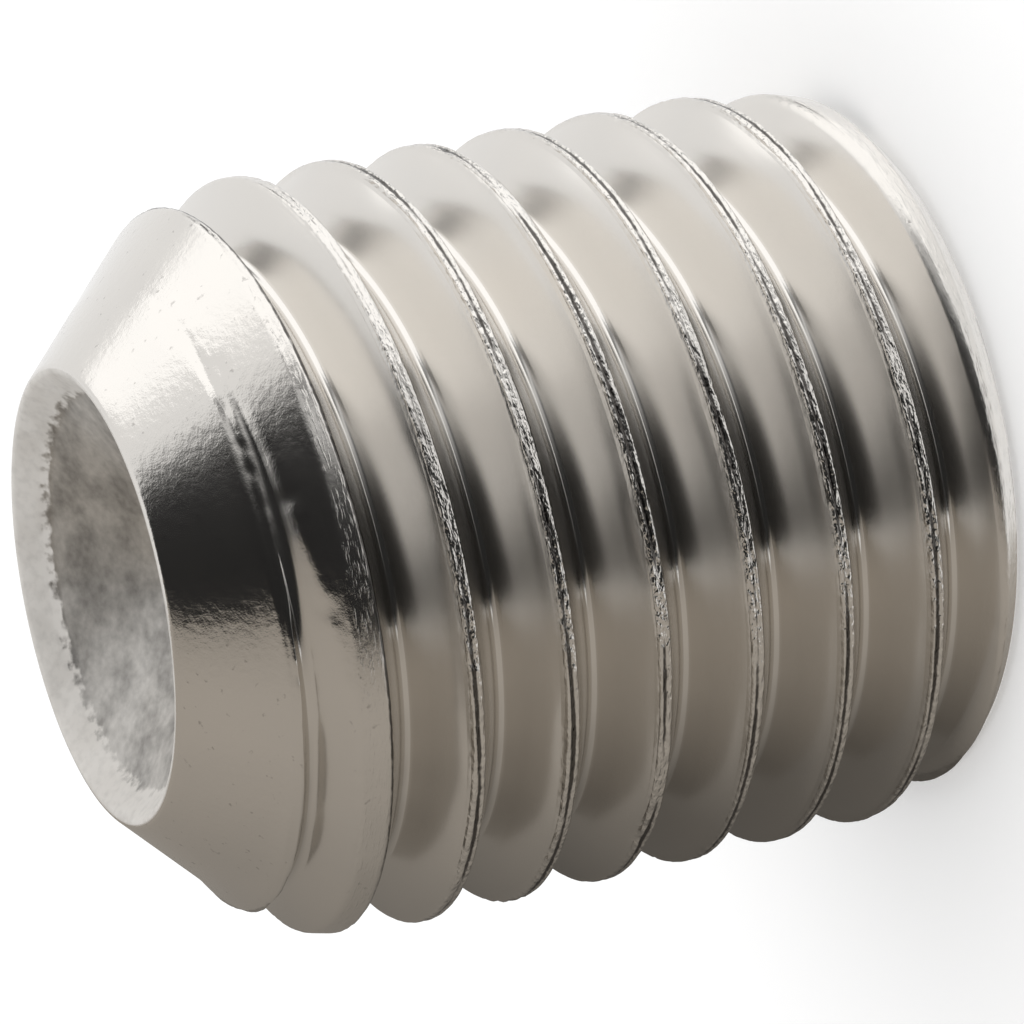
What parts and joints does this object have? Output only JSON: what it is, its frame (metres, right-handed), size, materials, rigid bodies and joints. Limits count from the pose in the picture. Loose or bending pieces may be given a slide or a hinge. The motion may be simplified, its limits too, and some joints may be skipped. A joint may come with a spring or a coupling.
{
  "type": "hexagon socket set screw",
  "caption": "Headless set screw with a full-length rolled thread, a hexagon key socket in one end and a cup point on the other, for clamping a hub or collar on a shaft.",
  "frame": {"origin": "centre of the flat driven end, which the screw stands on", "axes": "+Z along the thread axis, from the driven end to the cup point"},
  "size_m": [0.0156, 0.0156, 0.0172],
  "materials": {
    "steel": "bright stainless steel, polished on the thread flanks, with a fine grain on the point and nicked crests"
  },
  "bodies": {
    "root": {"set_screw": "steel"}
  },
  "joints": []
}
